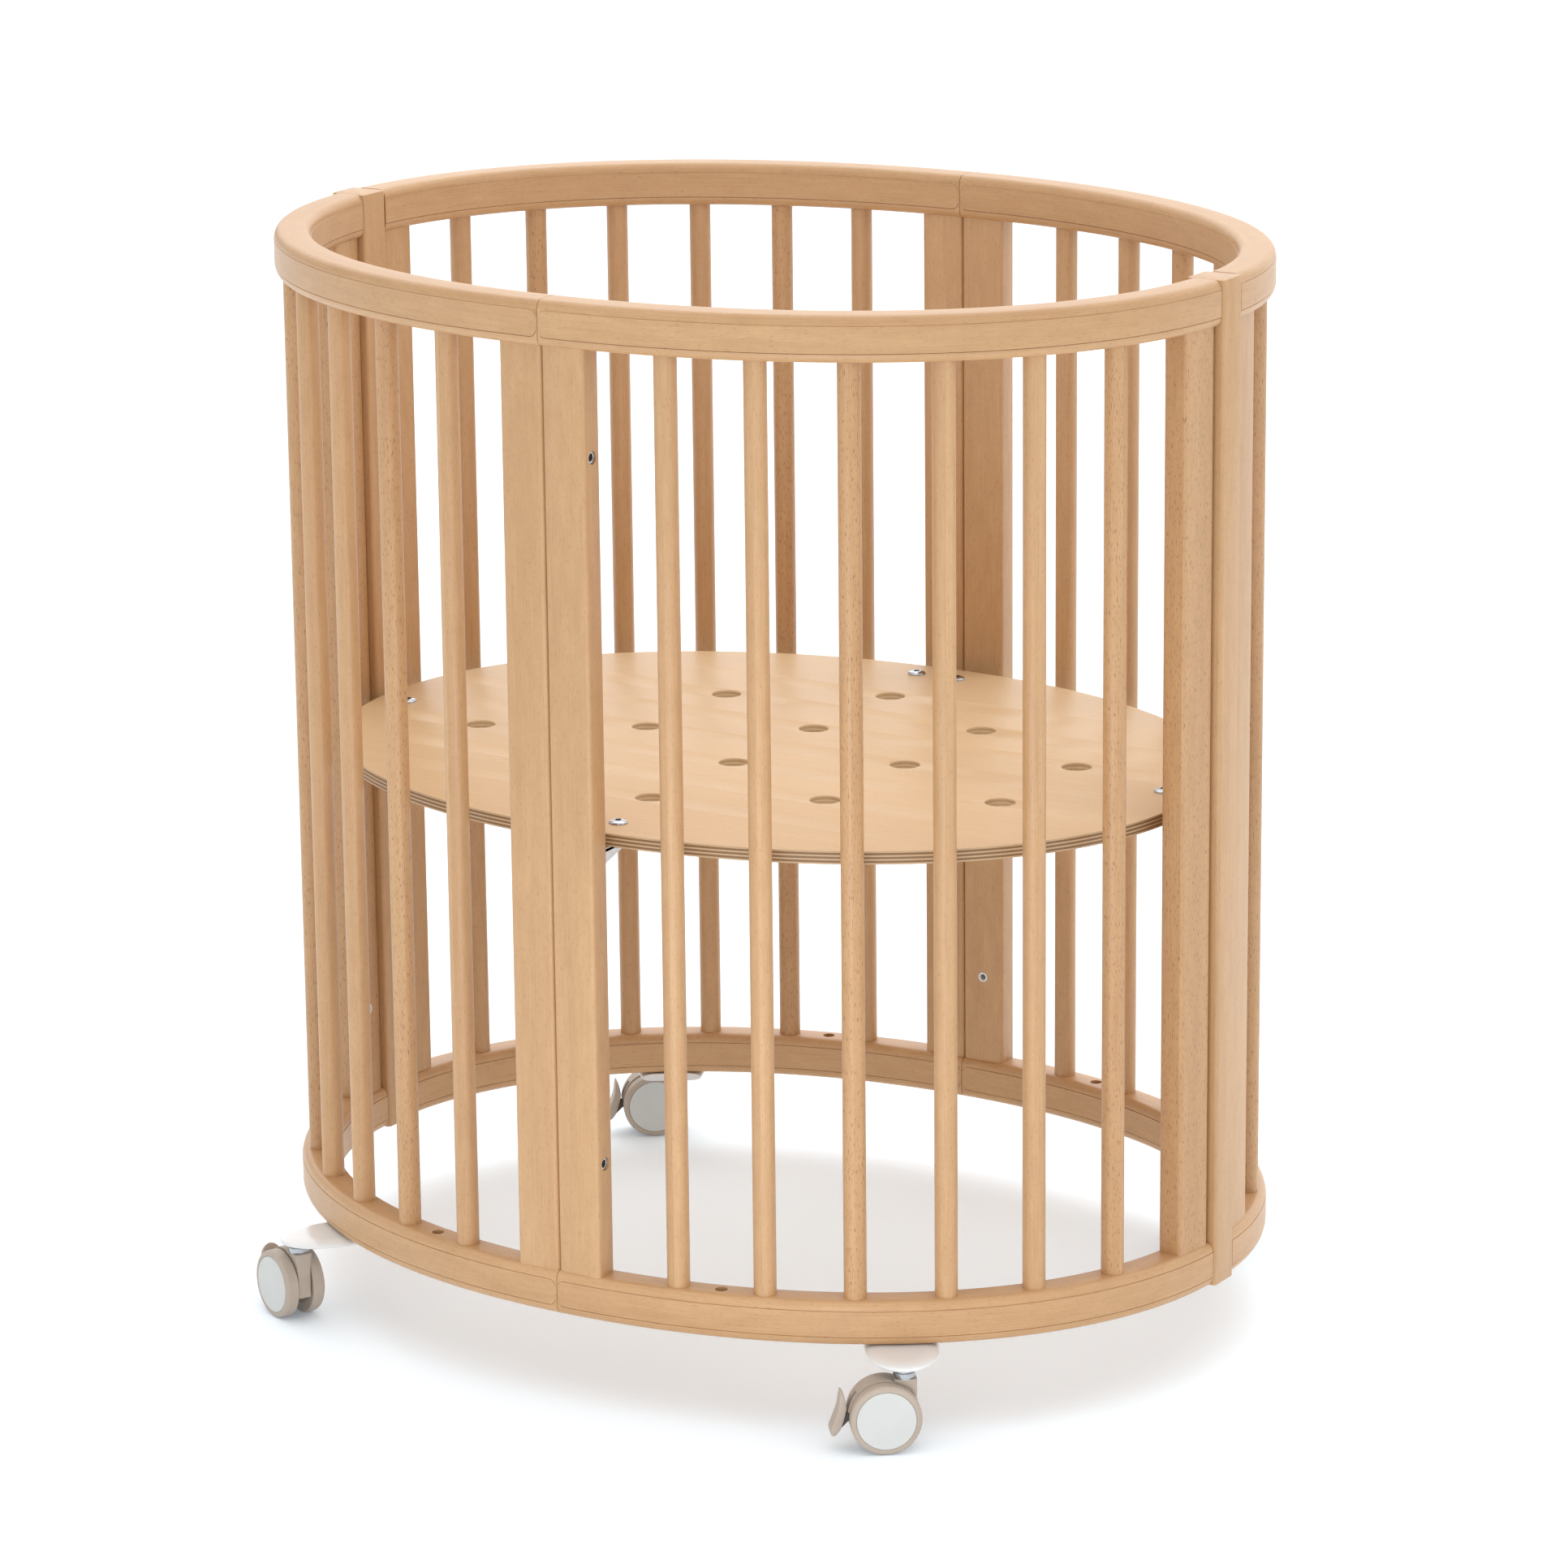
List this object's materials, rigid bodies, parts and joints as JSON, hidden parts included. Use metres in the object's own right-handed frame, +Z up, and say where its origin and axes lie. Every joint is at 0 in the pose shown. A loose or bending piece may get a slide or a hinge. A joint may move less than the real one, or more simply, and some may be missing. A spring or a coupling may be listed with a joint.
{
  "type": "baby crib",
  "caption": "Oval beech baby crib with round slats between curved rails, a height-adjustable plywood mattress base and braked twin-wheel casters.",
  "frame": {"origin": "on the floor under the middle of the oval", "axes": "+X along the oval's long axis towards the joint strip at the front right, +Z up, seams face -Y and +Y"},
  "size_m": [0.742, 0.5914, 0.7846],
  "materials": {
    "beech": "natural beech under satin clear lacquer, fine grain and small flecks",
    "plywood": "pale birch-faced plywood under semi-gloss lacquer, plies showing at the edge",
    "white_plastic": "glossy white moulded plastic",
    "caster_plastic": "satin greige moulded plastic",
    "disc_plastic": "satin off-white plastic disc",
    "steel": "bright zinc and chrome plated steel"
  },
  "bodies": {
    "frame": {"rail_top_front": "beech", "rail_bottom_front": "beech", "post_front_seam": "beech", "post_front_end": "beech", "slat_front_1": "beech", "slat_front_2": "beech", "slat_front_3": "beech", "slat_front_4": "beech", "slat_front_5": "beech", "slat_front_6": "beech", "rail_top_left": "beech", "rail_bottom_left": "beech", "post_left_seam": "beech", "post_left_end": "beech", "slat_left_1": "beech", "slat_left_2": "beech", "slat_left_3": "beech", "slat_left_4": "beech", "slat_left_5": "beech", "slat_left_6": "beech", "rail_top_back": "beech", "rail_bottom_back": "beech", "post_back_seam": "beech", "post_back_end": "beech", "slat_back_1": "beech", "slat_back_2": "beech", "slat_back_3": "beech", "slat_back_4": "beech", "slat_back_5": "beech", "slat_back_6": "beech", "rail_top_right": "beech", "rail_bottom_right": "beech", "post_right_seam": "beech", "post_right_end": "beech", "slat_right_1": "beech", "slat_right_2": "beech", "slat_right_3": "beech", "slat_right_4": "beech", "slat_right_5": "beech", "slat_right_6": "beech", "joint_strip_right": "beech", "joint_strip_left": "beech", "caster_bracket_front": "white_plastic", "caster_bracket_left": "white_plastic", "caster_bracket_back": "white_plastic", "caster_bracket_right": "white_plastic"},
    "mattress_base": {"mattress_base": "plywood"},
    "caster_housing_front": {"caster_housing_front": "caster_plastic"},
    "caster_wheels_front": {"caster_wheels_front": "caster_plastic"},
    "caster_pedal_front": {"caster_pedal_front": "caster_plastic"},
    "caster_housing_left": {"caster_housing_left": "caster_plastic"},
    "caster_wheels_left": {"caster_wheels_left": "caster_plastic"},
    "caster_pedal_left": {"caster_pedal_left": "caster_plastic"},
    "caster_housing_back": {"caster_housing_back": "caster_plastic"},
    "caster_wheels_back": {"caster_wheels_back": "caster_plastic"},
    "caster_pedal_back": {"caster_pedal_back": "caster_plastic"},
    "caster_housing_right": {"caster_housing_right": "caster_plastic"},
    "caster_wheels_right": {"caster_wheels_right": "caster_plastic"},
    "caster_pedal_right": {"caster_pedal_right": "caster_plastic"}
  },
  "joints": [
    {"name": "mattress_base_height", "type": "slide", "parent": "frame", "child": "mattress_base", "axis": [0, 0, 1], "range_m": [-0.22, 0]},
    {"name": "caster_swivel_front", "type": "hinge", "parent": "frame", "child": "caster_housing_front", "pos_m": [0.25587, -0.25103, 0.0576], "axis": [0, 0, 1], "continuous": true},
    {"name": "caster_roll_front", "type": "hinge", "parent": "caster_housing_front", "child": "caster_wheels_front", "pos_m": [0.24477, -0.25955, 0.025], "axis": [-0.6088, 0.7934, 0], "continuous": true},
    {"name": "caster_brake_front", "type": "hinge", "parent": "caster_housing_front", "child": "caster_pedal_front", "pos_m": [0.22771, -0.27264, 0.03], "axis": [0.6088, -0.7934, 0], "range_deg": [0, 12]},
    {"name": "caster_swivel_left", "type": "hinge", "parent": "frame", "child": "caster_housing_left", "pos_m": [-0.25587, -0.25103, 0.0576], "axis": [0, 0, 1], "continuous": true},
    {"name": "caster_roll_left", "type": "hinge", "parent": "caster_housing_left", "child": "caster_wheels_left", "pos_m": [-0.26851, -0.245, 0.025], "axis": [0.4305, 0.9026, 0], "continuous": true},
    {"name": "caster_brake_left", "type": "hinge", "parent": "caster_housing_left", "child": "caster_pedal_left", "pos_m": [-0.28791, -0.23575, 0.03], "axis": [-0.4305, -0.9026, 0], "range_deg": [0, 12]},
    {"name": "caster_swivel_back", "type": "hinge", "parent": "frame", "child": "caster_housing_back", "pos_m": [-0.25587, 0.25103, 0.0576], "axis": [0, 0, 1], "continuous": true},
    {"name": "caster_roll_back", "type": "hinge", "parent": "caster_housing_back", "child": "caster_wheels_back", "pos_m": [-0.26698, 0.24251, 0.025], "axis": [-0.6088, 0.7934, 0], "continuous": true},
    {"name": "caster_brake_back", "type": "hinge", "parent": "caster_housing_back", "child": "caster_pedal_back", "pos_m": [-0.28404, 0.22942, 0.03], "axis": [0.6088, -0.7934, 0], "range_deg": [0, 12]},
    {"name": "caster_swivel_right", "type": "hinge", "parent": "frame", "child": "caster_housing_right", "pos_m": [0.25587, 0.25103, 0.0576], "axis": [0, 0, 1], "continuous": true},
    {"name": "caster_roll_right", "type": "hinge", "parent": "caster_housing_right", "child": "caster_wheels_right", "pos_m": [0.24477, 0.24251, 0.025], "axis": [-0.6088, 0.7934, 0], "continuous": true},
    {"name": "caster_brake_right", "type": "hinge", "parent": "caster_housing_right", "child": "caster_pedal_right", "pos_m": [0.22771, 0.22942, 0.03], "axis": [0.6088, -0.7934, 0], "range_deg": [0, 12]}
  ]
}
